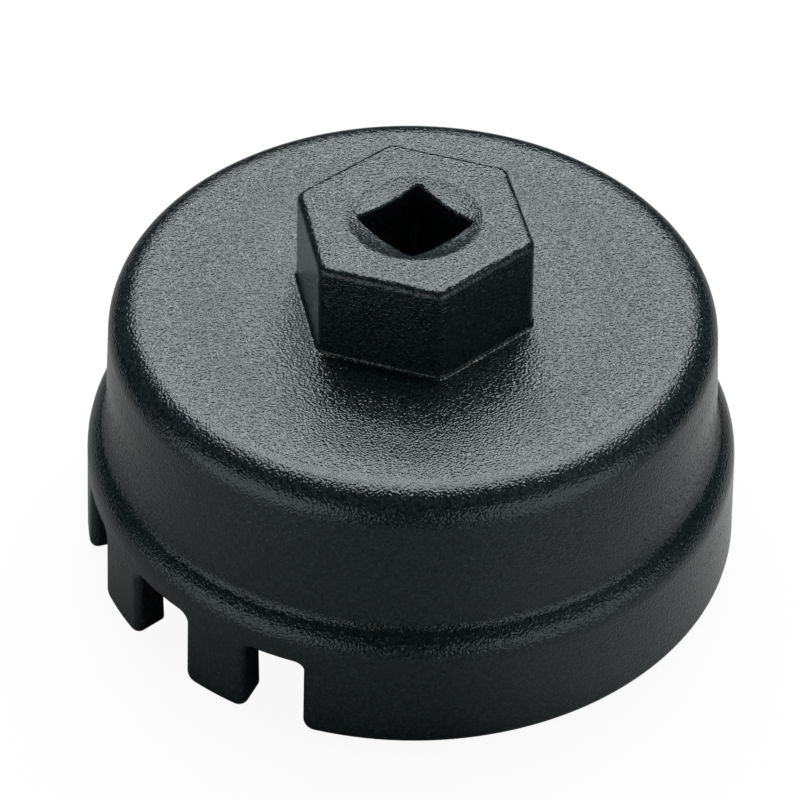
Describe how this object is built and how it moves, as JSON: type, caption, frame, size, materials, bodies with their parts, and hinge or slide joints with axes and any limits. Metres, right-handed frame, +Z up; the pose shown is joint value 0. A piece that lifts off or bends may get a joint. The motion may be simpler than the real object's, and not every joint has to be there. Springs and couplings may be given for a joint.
{
  "type": "oil filter wrench",
  "caption": "Cup wrench for a cartridge oil filter cap: fluted socket, notched skirt below a ledge, and a hex boss with a square drive hole on top.",
  "frame": {"origin": "centre of the rim's lower plane, where the cup rests mouth down", "axes": "+Z up along the drive axis towards the hex boss; -X is the front, through the middle rim notch; two hex corners lie on X and the square's sides are parallel to X and Y"},
  "size_m": [0.0792, 0.08, 0.0465],
  "materials": {
    "black_powder_coat": "satin"
  },
  "bodies": {
    "root": {"drive_boss": "black_powder_coat", "crown": "black_powder_coat", "fluted_wall": "black_powder_coat", "skirt_collar": "black_powder_coat", "front_lug_left": "black_powder_coat", "front_lug_right": "black_powder_coat", "rear_lug_left": "black_powder_coat", "rear_lug_right": "black_powder_coat", "left_rim": "black_powder_coat", "right_rim": "black_powder_coat"}
  },
  "joints": []
}
